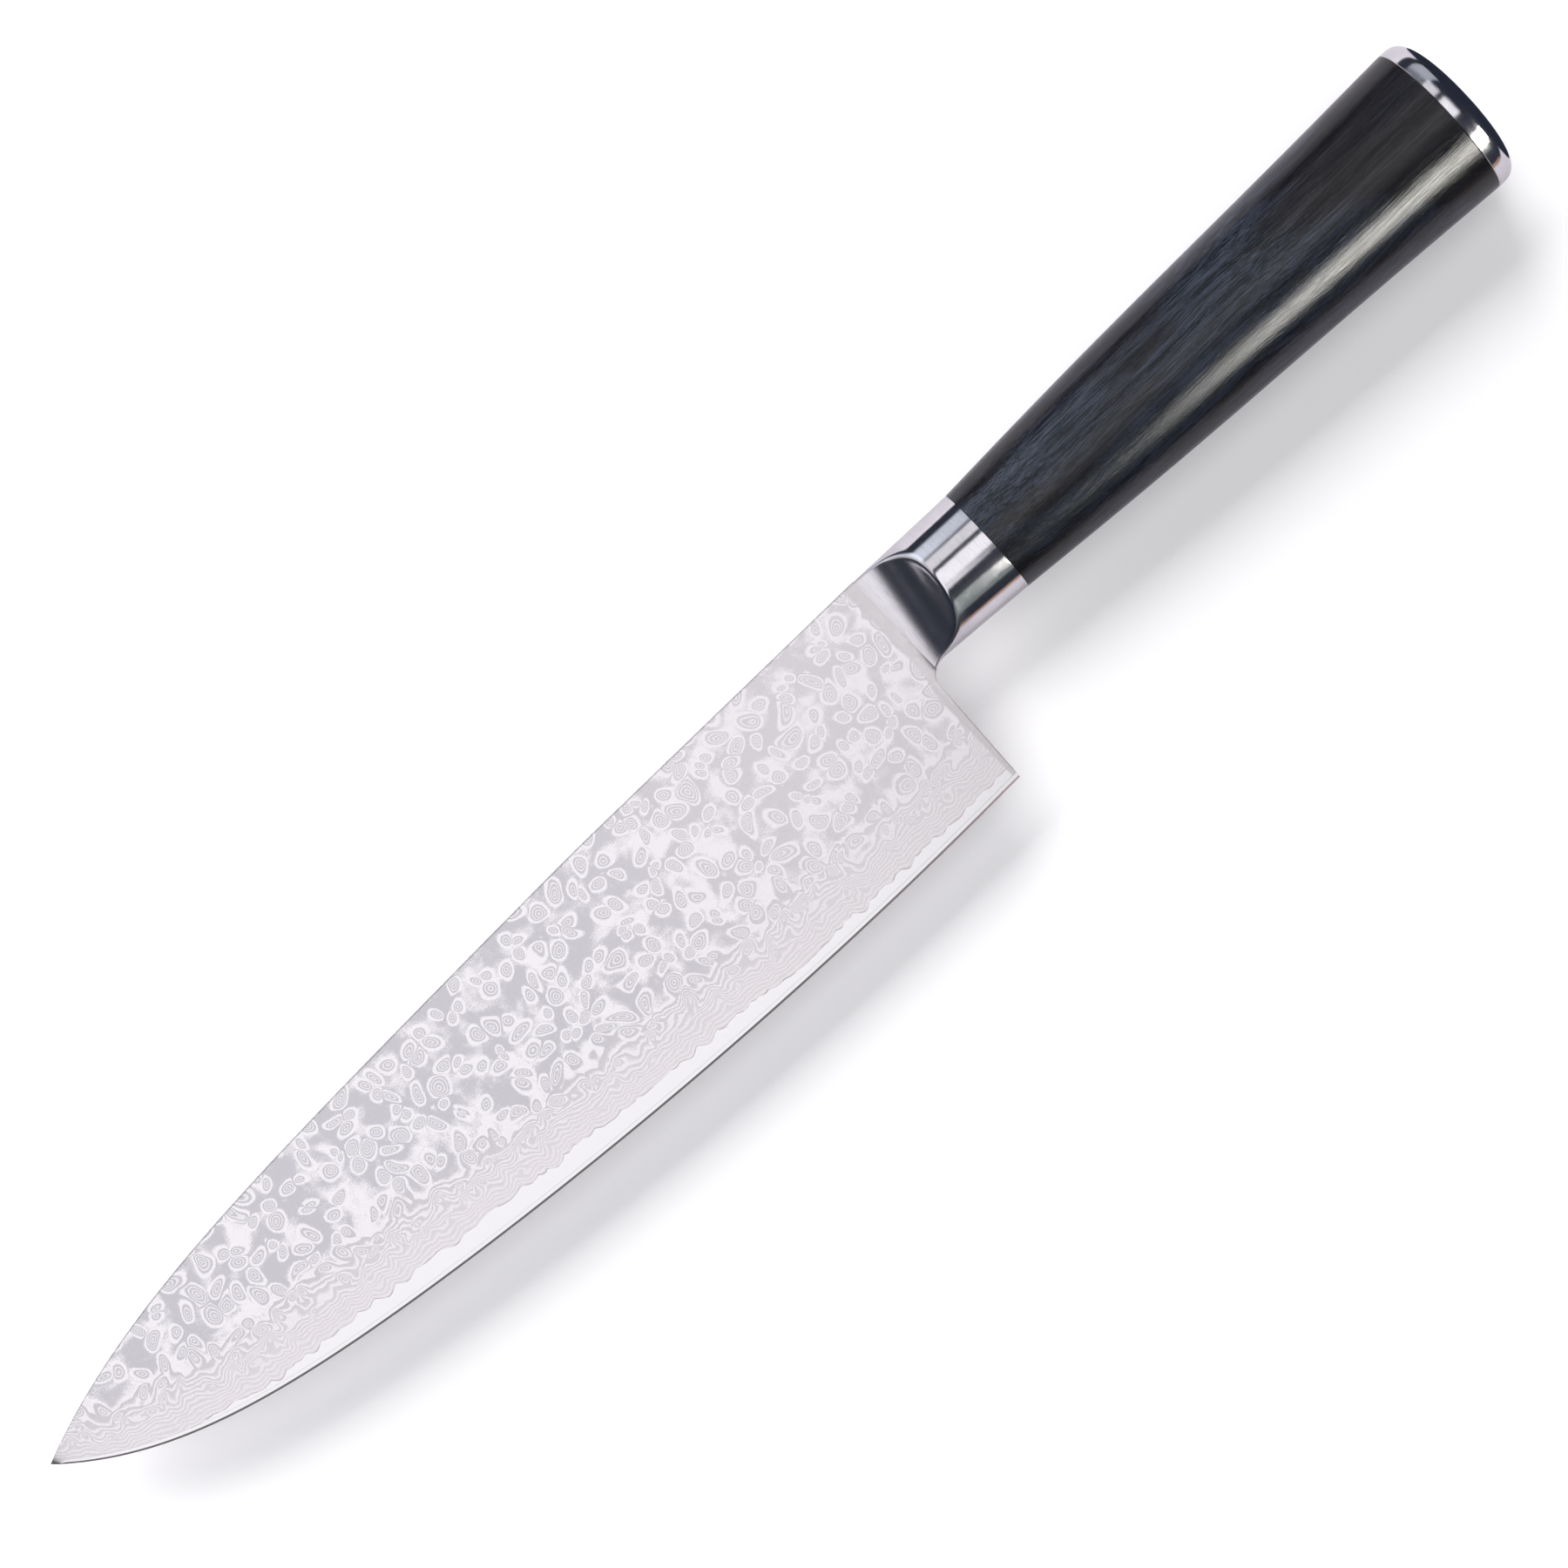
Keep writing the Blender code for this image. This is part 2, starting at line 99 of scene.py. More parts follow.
SPIGOT_OUTER, SPIGOT_INNER, SPIGOT_LENGTH, CAP_HOLLOW = 6.9, 6.1, 7.0, 1.5

# What only the fine meshes have
BEVEL_HEIGHT, EDGE_HALF = 0.4, 0.015
CORE_SUNK = 0.004      # the core's bare flank lies this far under the outer layers' flank
CORE_MARGIN = 0.03     # least thickness of the outer layers where they run out
LIP_HEIGHT = 1.0       # the outer layers' meshes stop this far above the edge
PATTERN_END = 0.2      # the layers' pattern stops here, short of the shoulder
FLANK_ROWS = 12
FLAT_MARGIN = 0.06     # narrow first and last rows keep the rounded borders off the flank's shading
SPINE_EASE = 0.22      # rounding of the spine's corners
HEEL_EASE = 0.10
CREST_EASE = 1.1       # how softly the scoops meet the bolster's oval
JOINT_EASE = 0.10      # chamfers at the grip's ends
WELD_GAP = 0.05        # around the tang, in the bolster's slot
TIP_STEPS, BELLY_STEPS, CHOIL_STEPS = 70, 90, 16
BOLSTER_STEPS, BOLSTER_AROUND = 130, 200
GRIP_STEPS, CAP_STEPS, HANDLE_AROUND, HOLE_AROUND = 84, 40, 160, 96
CUT_PAST = 3.0         # cutters reach this far past the piece

core_low, core_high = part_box("core_steel")
ORIGIN = Vector((core_low[0] / MM - POINT, core_high[1] / MM, (core_low[2] + core_high[2]) / 2 / MM))
BLADE_LINES = Matrix.Scale(MM, 4) @ Matrix.Translation(ORIGIN)
HANDLE_LINES = (
    BLADE_LINES @ Matrix.Translation((BOLSTER_BACK, AXIS_Y, 0)) @ Matrix.Rotation(-DROOP, 4, "Z")
)


# Mesh building


def loft(rings, lines):
    """A closed body through rings of points given in lines, with the first and last rings filled."""
    body = bmesh.new()
    loops = [[body.verts.new(lines @ Vector(point)) for point in ring] for ring in rings]
    for near, far in zip(loops, loops[1:]):
        for i in range(len(near)):
            j = (i + 1) % len(near)
            body.faces.new((near[i], near[j], far[j], far[i]))
    body.faces.new(loops[0])
    body.faces.new(loops[-1])
    bmesh.ops.recalc_face_normals(body, faces=body.faces)
    return body


def add_piece(name, body, material, sharp=30):
    mesh = bpy.data.meshes.new(name)
    body.to_mesh(mesh)
    body.free()
    mesh.shade_smooth()
    mesh.set_sharp_from_angle(angle=math.radians(sharp))
    mesh.materials.append(material)
    piece = bpy.data.objects.new(name, mesh)
    bpy.context.collection.objects.link(piece)
    return piece


def cut_away(piece, body):
    """Cuts body out of the piece and keeps the result as the piece's own mesh."""
    cutter = add_piece("cutter", body, piece.data.materials[0])
    step = piece.modifiers.new("cut", "BOOLEAN")
    step.object = cutter
    step.operation = "DIFFERENCE"
    shape = piece.evaluated_get(bpy.context.evaluated_depsgraph_get())
    cut = bpy.data.meshes.new_from_object(shape)
    piece.modifiers.remove(step)
    piece.data = cut
    bpy.data.objects.remove(cutter)


def stands_for(piece, node):
    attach(piece, "root")
    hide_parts(node)


def box_body(low, high, lines):
    (x0, y0, z0), (x1, y1, z1) = low, high
    rings = [[(x, y0, z0), (x, y1, z0), (x, y1, z1), (x, y0, z1)] for x in (x0, x1)]
    return loft(rings, lines)


def oval(x, centre_y, half_width, half_depth, around, lean=0.0):
    ring = []
    for k in range(around):
        angle = 2 * math.pi * k / around
        across, up = math.cos(angle), math.sin(angle)
        y = math.copysign(abs(across) ** (2 / OVAL_POWER), across) * half_width
        z = math.copysign(abs(up) ** (2 / OVAL_POWER), up) * half_depth
        ring.append((x + y * lean, centre_y + y, z))
    return ring


def circle(x, radius, around):
    ring = []
    for _, y, z in oval(x, 0.0, 1.0, 1.0, around):
        length = math.hypot(y, z)
        ring.append((x, radius * y / length, radius * z / length))
    return ring


# The blade


def spine_y(x):
    u = max(0.0, (SPINE_STRAIGHT_TO - x) / (BLADE_LENGTH + SPINE_STRAIGHT_TO))
    return -SPINE_SLOPE_DROP * (math.hypot(u, SPINE_BEND) - SPINE_BEND) - SPINE_TIP_DROP * u**SPINE_TIP_POWER


def edge_y(x):
    v = (EDGE_LOW_X - x) / (BLADE_LENGTH + EDGE_LOW_X)
    return EDGE_LOW_Y + EDGE_BELLY_RISE * v**2 + EDGE_TIP_RISE * max(0.0, v) ** EDGE_TIP_POWER


def choil_drop(x):
    across = min(1.0, max(0.0, (CHOIL_X - x) / CHOIL_RX))
    return CHOIL_RY * (1 - math.sqrt(1 - across**2))


def bottom_y(x):
    if x <= 0:
        return edge_y(x)
    if x <= HEEL_LEAN:
        return edge_y(0) + (CHOIL_Y - edge_y(0)) * x / HEEL_LEAN
    return CHOIL_Y + CHOIL_RY - choil_drop(x)


def flank_plane(x, y):
    return FLANK_HEEL + FLANK_PER_X * x + FLANK_PER_Y * y


def scoop_out(x, y):
    """How far out from its start the scoop is here, across its leaning axis."""
    out = x - SCOOP_START - (y - AXIS_Y) * math.tan(SCOOP_LEAN)
    return max(0.0, out) * math.cos(SCOOP_LEAN)


def scoop_rise(out):
    return SCOOP_RADIUS - math.sqrt(SCOOP_RADIUS**2 - out**2)


def shoulder_rise(x, y):
    """How far the blade's flank swells, between the heel and the shoulder, to meet the scoop."""
    low = BOLSTER_BOTTOM[0]
    above_heel = min(1.0, max(0.0, (y - HEEL_PLAIN_FROM) / (low - HEEL_PLAIN_FROM)))
    return scoop_rise(scoop_out(SHOULDER, max(y, low))) * above_heel * (max(0.0, x) / SHOULDER) ** 2


def blade_half(x, y):
    if x >= TAPER_FROM:
        return flank_plane(x, y) + shoulder_rise(x, y)
    share = (TAPER_FROM - x) / (BLADE_LENGTH + TAPER_FROM)
    at_spine = flank_plane(x, spine_y(x)) * (1 - (1 - SPINE_TIP_SHARE) * share**2)
    at_edge = flank_plane(TAPER_FROM, edge_y(TAPER_FROM)) * (1 - share) + EDGE_TIP_HALF * share
    return at_spine + (at_edge - at_spine) * (spine_y(x) - y) / (spine_y(x) - edge_y(x))


def blade_stations():
    tip = [POINT + (TAPER_FROM - POINT) * (k / TIP_STEPS) ** 1.6 for k in range(TIP_STEPS)]
    belly = [TAPER_FROM * (1 - k / BELLY_STEPS) for k in range(BELLY_STEPS)]
    heel = [0.0, 0.03, 0.1, 0.3, 0.6, HEEL_LEAN]
    start = math.acos((CHOIL_X - HEEL_LEAN) / CHOIL_RX)
    finish = math.acos((CHOIL_X - SHOULDER) / CHOIL_RX)
    turns = [start + (finish - start) * k / CHOIL_STEPS for k in range(1, CHOIL_STEPS + 1)]
    return tip + belly + heel + [CHOIL_X - CHOIL_RX * math.cos(turn) for turn in turns]


def lip_y(x):
    """Where the outer layers' meshes stop above the edge, or at the heel's outline."""
    top, low = spine_y(x), bottom_y(x)
    if x > 0:
        return max(low, edge_y(0) + LIP_HEIGHT)
    return low + min(LIP_HEIGHT, 0.3 * (top - low))


def inner_turn_y(x):
    """Where the lamination leaves its plane to follow the flank down to the lip."""
    top, lip = spine_y(x), lip_y(x)
    height = top - lip
    return min(max(lip + 0.2 * height, lip + 0.6), lip + 0.5 * height)


def core_ring(x):
    """A section of the core: six points down one flank and six up the other."""
    top, low, lip = spine_y(x), bottom_y(x), lip_y(x)
    turn = inner_turn_y(x)
    at_lip = blade_half(x, lip)
    if lip > low:
        bevel = low + min(BEVEL_HEIGHT, 0.4 * (lip - low))
        rows = [
            (top, CORE_HALF),
            (turn, min(CORE_HALF, blade_half(x, turn) - CORE_MARGIN)),
            (lip + 0.02, at_lip - CORE_MARGIN),
            (lip - 0.01, blade_half(x, lip - 0.01) - CORE_SUNK),
            (bevel, blade_half(x, bevel) - CORE_SUNK),
            (low, EDGE_HALF if x <= 0 else blade_half(x, low) - CORE_SUNK),
        ]
    else:
        rows = [(top + (low - top) * k / 5, CORE_HALF) for k in range(6)]
    return [(x, y, z) for y, z in rows] + [(x, y, -z) for y, z in reversed(rows)]


def core_tang_ring(x, top, bottom):
    """A section of the core's tang, with as many points as core_ring gives."""
    half = CORE_HALF - TANG_STEP
    rows = [top + (bottom - top) * k / 5 for k in range(6)]
    return [(x, y, half) for y in rows] + [(x, y, -half) for y in reversed(rows)]


def layer_ring(x, side):
    """A section of an outer layer: along the spine, down the flank, round the lip and back up inside."""
    top, low = spine_y(x), lip_y(x)
    ease = min(SPINE_EASE, 0.3 * blade_half(x, top), 0.2 * (top - low))
    half = blade_half(x, top - ease)
    points = [(top, half - ease)]
    for k in range(1, 4):
        turn = math.pi / 2 * k / 3
        points.append((top - ease + ease * math.cos(turn), half - ease + ease * math.sin(turn)))
    start = top - ease - FLAT_MARGIN * min(1.0, 5 * ease)
    points.append((start, blade_half(x, start)))
    foot = low + (HEEL_EASE if x > 0 else 0.02)
    last = foot + FLAT_MARGIN * min(1.0, 5 * ease)
    rows = [start + (last - start) * k / FLANK_ROWS for k in range(1, FLANK_ROWS + 1)]
    points += [(y, blade_half(x, y)) for y in rows + [foot]]
    turn = inner_turn_y(x)
    if x > 0.05:
        points.append((low, blade_half(x, low) - 0.6 * HEEL_EASE))
        points.append((low, CLADDING_INNER))
        points.append((turn, CLADDING_INNER))
    else:
        points.append((low, blade_half(x, low) - 0.003))
        points.append((low, blade_half(x, low) - 0.02))
        points.append((turn, min(CLADDING_INNER, blade_half(x, turn) - 0.015)))
    points.append((top, CLADDING_INNER))
    return [(x, y, side * z) for y, z in points]


def layer_tang_ring(x, top, bottom, side):
    """A section of an outer layer's tang, with as many points as layer_ring gives."""
    inner = CLADDING_INNER + TANG_STEP
    count = FLANK_ROWS + 8
    outer = [(top + (bottom - top) * k / (count - 1), TANG_HALF) for k in range(count)]
    return [(x, y, side * z) for y, z in outer + [(bottom, inner), (top, inner)]]


def make_blade(materials):
    rings = [core_ring(x) for x in blade_stations()] + [core_tang_ring(*place) for place in TANG]
    core = add_piece("core_plate", loft(rings, BLADE_LINES), materials["core"], sharp=8)
    mark_places(core)
    stands_for(core, "core_steel")
    for name, node, side in (("left_layers", "cladding_left", 1), ("right_layers", "cladding_right", -1)):
        rings = [layer_ring(x, side) for x in blade_stations()]
        rings += [layer_tang_ring(*place, side) for place in TANG]
        layers = add_piece(name, loft(rings, BLADE_LINES), materials["layers"], sharp=24)
        mark_places(layers)
        stands_for(layers, node)


def mark_places(piece):
    """Stores what the steel's materials need, in millimetres, at each point.

    They are the height above the edge, how far the point is past the line where the pattern ends, and its
    distance inside the outline of the heel and the choil.
    """
    mesh = piece.data
    above = mesh.attributes.new("above_edge", "FLOAT", "POINT")
    behind = mesh.attributes.new("behind_heel", "FLOAT", "POINT")
    inside = mesh.attributes.new("inside_outline", "FLOAT", "POINT")
    back = BLADE_LINES.inverted()
    far = 5.0
    for k, vertex in enumerate(mesh.vertices):
        point = back @ vertex.co
        above.data[k].value = point.y - edge_y(min(0.0, point.x))
        below_choil = min(1.0, max(0.0, (CHOIL_Y + 3.0 - point.y) / 4.0))
        behind.data[k].value = point.x - PATTERN_END + below_choil
        up_the_heel = (point.y - edge_y(0)) / (CHOIL_Y - edge_y(0))
        to_heel = HEEL_LEAN * up_the_heel - point.x if up_the_heel < 1 else far
        to_choil = point.y - bottom_y(point.x) if point.x > 0 else far
        inside.data[k].value = min(to_heel, to_choil)


# The bolster


def bolster_section(x):
    along = (x - BOLSTER_FRONT) / (BOLSTER_BACK - BOLSTER_FRONT)
    top = BOLSTER_TOP[0] + (BOLSTER_TOP[1] - BOLSTER_TOP[0]) * along
    bottom = BOLSTER_BOTTOM[0] + (BOLSTER_BOTTOM[1] - BOLSTER_BOTTOM[0]) * along - choil_drop(x)
    return top, bottom, BOLSTER_HALF - BOLSTER_TAPER * (1 - along) ** 2


def soft_least(a, b, ease):
    """The lesser of two heights, rounded over where they cross."""
    blend = max(0.0, ease - abs(a - b)) / ease
    return min(a, b) - blend**2 * ease / 4


def bolster_ring(x, lean):
    top, bottom, half = bolster_section(x)
    ring = []
    for px, y, z in oval(x, (top + bottom) / 2, (top - bottom) / 2, half, BOLSTER_AROUND, lean):
        out = scoop_out(px, y)
        if out < SCOOP_RADIUS and abs(z) > 1e-6:
            face = flank_plane(0.0, y) + scoop_rise(out)
            ground = soft_least(abs(z), face, min(CREST_EASE, abs(z)))
            z = math.copysign(ground, z)
        ring.append((px, y, z))
    return ring


def make_bolster(materials):
    rings = []
    for k in range(BOLSTER_STEPS + 1):
        share = k / BOLSTER_STEPS
        x = BOLSTER_FRONT + (BOLSTER_BACK - BOLSTER_FRONT) * share
        rings.append(bolster_ring(x, math.tan(DROOP) * share**2))
    bolster = add_piece("bolster_body", loft(rings, BLADE_LINES), materials["polished"], sharp=50)
    slot = box_body(
        (BOLSTER_FRONT - CUT_PAST, TANG[0][2] - WELD_GAP, -TANG_HALF - WELD_GAP),
        (BOLSTER_BACK + CUT_PAST, TANG[0][1] + WELD_GAP, TANG_HALF + WELD_GAP),
        BLADE_LINES,
    )
    cut_away(bolster, slot)
    stands_for(bolster, "bolster")


# The grip and the end cap


def swelling(along, ends, swell):
    straight = ends[0] + (ends[1] - ends[0]) * along
    return straight + swell[0] * math.sin(math.pi * along) + swell[1] * math.sin(2 * math.pi * along)


def grip_section(x):
    along = min(1.0, max(0.0, x / GRIP_LENGTH))
    return swelling(along, GRIP_WIDTH, GRIP_WIDTH_SWELL), swelling(along, GRIP_HALF, GRIP_HALF_SWELL)


def grip_ring(x, ease=0.0):
    width, half = grip_section(x)
    return oval(x, 0.0, width - ease, half - ease, HANDLE_AROUND)


def make_grip(materials):
    front, end = JOINT_GAP, GRIP_LENGTH - JOINT_GAP
    stations = [front + (end - front) * k / GRIP_STEPS for k in range(1, GRIP_STEPS)]
    rings = [grip_ring(front, JOINT_EASE), grip_ring(front + JOINT_EASE)]
    rings += [grip_ring(x) for x in stations]
    rings += [grip_ring(end - JOINT_EASE), grip_ring(end, JOINT_EASE)]
    grip = add_piece("grip_body", loft(rings, HANDLE_LINES), materials["wood"])
    depth, height, thickness = MORTISE
    low = (-CUT_PAST, -height / 2, -thickness / 2)
    cut_away(grip, box_body(low, (depth, height / 2, thickness / 2), HANDLE_LINES))
    for start, radius in ((-CUT_PAST, BORE_RADIUS), (GRIP_LENGTH - POCKET_DEPTH, POCKET_RADIUS)):
        hole = [circle(x, radius, HOLE_AROUND) for x in (start, GRIP_LENGTH + CUT_PAST)]
        cut_away(grip, loft(hole, HANDLE_LINES))
    stands_for(grip, "handle_grip")


def cap_rise(share):
    """How far along the cap its outline has narrowed to a share of the joint face; 1 at the very end."""
    return (1 - share ** CAP_POWERS[0]) ** (1 / CAP_POWERS[1])


def make_end_cap(materials):
    start = GRIP_LENGTH
    width, half = grip_section(start)
    rings = [
        circle(start + CAP_HOLLOW, SPIGOT_INNER, HANDLE_AROUND),
        circle(start - SPIGOT_LENGTH, SPIGOT_INNER, HANDLE_AROUND),
        circle(start - SPIGOT_LENGTH, SPIGOT_OUTER, HANDLE_AROUND),
        circle(start + JOINT_GAP, SPIGOT_OUTER, HANDLE_AROUND),
        grip_ring(start + JOINT_GAP, JOINT_EASE),
        grip_ring(start + JOINT_GAP + JOINT_EASE),
    ]
    last_turn = math.acos(CAP_FLAT ** (CAP_POWERS[0] / 2))
    for k in range(1, CAP_STEPS + 1):
        share = math.cos(last_turn * (k / CAP_STEPS) ** 1.5) ** (2 / CAP_POWERS[0])
        x = start + CAP_LENGTH * cap_rise(share) / cap_rise(CAP_FLAT)
        rings.append(oval(x, 0.0, width * share, half * share, HANDLE_AROUND))
    cap = add_piece("butt_cap", loft(rings, HANDLE_LINES), materials["polished"])
    stands_for(cap, "end_cap")


# Materials


class Wire:
    """A number or a vector on its way through a material's nodes, so that a formula reads as one."""

    def __init__(self, nodes, socket):
        self.nodes = nodes
        self.socket = socket

    def __add__(self, other):
        return self.nodes.math("ADD", self, other)

    def __sub__(self, other):
        return self.nodes.math("SUBTRACT", self, other)

    def __rsub__(self, other):
        return self.nodes.math("SUBTRACT", other, self)

    def __mul__(self, other):
        return self.nodes.math("MULTIPLY", self, other)

    def __truediv__(self, other):
        return self.nodes.math("DIVIDE", self, other)

    __radd__ = __add__


class Nodes:
    """One material's node tree, with a short call for each kind of node in use."""

    def __init__(self, name):
        self.material = bpy.data.materials.new(name)
        self.material.use_nodes = True
        self.tree = self.material.node_tree
        self.shader = self.tree.nodes["Principled BSDF"]

    def add(self, kind, **settings):
        node = self.tree.nodes.new(kind)
        for key, value in settings.items():
            setattr(node, key, value)
        return node

    def plug(self, socket, value):
        if isinstance(value, Wire):
            self.tree.links.new(value.socket, socket)
        else:
            socket.default_value = value

    def math(self, operation, *values):
        node = self.add("ShaderNodeMath", operation=operation)
        for socket, value in zip(node.inputs, values):
            self.plug(socket, value)
        return Wire(self, node.outputs[0])

    def vector(self, operation, *values, out=0):
        node = self.add("ShaderNodeVectorMath", operation=operation)
        for socket, value in zip(node.inputs, values):
            self.plug(socket, value)
        return Wire(self, node.outputs[out])

    def place(self, scale=(1, 1, 1), turn=0.0):
        """The point on the piece, in millimetres, scaled and then turned about Z."""
        coordinates = self.add("ShaderNodeTexCoord")
        node = self.add("ShaderNodeMapping", vector_type="POINT")
        node.inputs["Rotation"].default_value = (0, 0, turn)
        node.inputs["Scale"].default_value = [s / MM for s in scale]
        self.tree.links.new(coordinates.outputs["Object"], node.inputs["Vector"])
        return Wire(self, node.outputs[0])

    def axes(self, vector):
        node = self.add("ShaderNodeSeparateXYZ")
        self.plug(node.inputs[0], vector)
        return [Wire(self, output) for output in node.outputs]

    def join(self, x, y, z):
        node = self.add("ShaderNodeCombineXYZ")
        for socket, value in zip(node.inputs, (x, y, z)):
            self.plug(socket, value)
        return Wire(self, node.outputs[0])

    def attribute(self, name):
        node = self.add("ShaderNodeAttribute", attribute_name=name)
        return Wire(self, node.outputs["Fac"])

    def noise(self, vector, scale, detail=2.0, roughness=0.5, color=False):
        node = self.add("ShaderNodeTexNoise")
        self.plug(node.inputs["Vector"], vector)
        node.inputs["Scale"].default_value = scale
        node.inputs["Detail"].default_value = detail
        node.inputs["Roughness"].default_value = roughness
        return Wire(self, node.outputs["Color" if color else "Fac"])

    def dimples(self, vector, output, feature="F1"):
        node = self.add("ShaderNodeTexVoronoi", feature=feature, voronoi_dimensions="2D")
        self.plug(node.inputs["Vector"], vector)
        node.inputs["Scale"].default_value = DIMPLES_PER_MM
        node.inputs["Randomness"].default_value = DIMPLE_SCATTER
        return Wire(self, node.outputs[output])

    def ease(self, value, low, high, to_low=0.0, to_high=1.0):
        """to_low up to low, to_high from high on, and a smooth step between."""
        node = self.add("ShaderNodeMapRange", interpolation_type="SMOOTHSTEP")
        for socket, number in zip(node.inputs, (value, low, high, to_low, to_high)):
            self.plug(socket, number)
        return Wire(self, node.outputs[0])

    def mix(self, factor, first, second):
        node = self.add("ShaderNodeMix", data_type="RGBA")
        self.plug(node.inputs["Factor"], factor)
        for socket, value in zip((node.inputs[6], node.inputs[7]), (first, second)):
            self.plug(socket, value if isinstance(value, Wire) else (*value, 1.0))
        return Wire(self, node.outputs[2])

    def bump(self, height, distance, strength=1.0):
        node = self.add("ShaderNodeBump")
        node.inputs["Strength"].default_value = strength
        node.inputs["Distance"].default_value = distance * MM
        self.plug(node.inputs["Height"], height)
        return Wire(self, node.outputs[0])

    def finish(self, **sockets):
        for name, value in sockets.items():
            self.plug(self.shader.inputs[name.replace("_", " ")], value)
        return self.material


BARE_STEEL = (0.80, 0.79, 0.80)
GROUND_EDGE = (0.80, 0.62, 0.66)
# Painted shade: a dark rim along the heel's and the choil's outline, and a dark line along the step above
# the bare core
SHADED_RIM, STEP_SHADE_LINE = (0.30, 0.26, 0.25), (0.34, 0.29, 0.27)
PLAIN_STEEL = (0.60, 0.575, 0.585)
DIMPLES_PER_MM = 0.265     # along a row of the punched dimples that show as eyes
DIMPLE_SCATTER = 0.82      # 0 would leave them in a square grid
RINGS_PER_MM = 2.0         # from the middle of an eye outwards
LAYERS_PER_MM = 1.35       # down the ground part of the flank
GRIND_TOP = 8.15           # height at which that part ends; 11 layers above the bare core
EYE_FOOT = 1.92            # depth, in layers, at the foot of an eye's cone


def core_material():
    """Hard core steel, ground bright; the bevel along the very edge is smoother and a little red."""
    n = Nodes("bright_core_steel")
    lines = n.noise(n.place(scale=(5, 0.4, 0.4)), 1.0, detail=3)
    above = n.attribute("above_edge")
    ground = n.ease(above, BEVEL_HEIGHT + 0.02, BEVEL_HEIGHT - 0.02)
    return n.finish(
        Base_Color=n.mix(ground, BARE_STEEL, GROUND_EDGE),
        Metallic=1.0,
        Roughness=n.ease(lines, 0.3, 0.7, 0.19, 0.21) - ground * 0.08,
    )


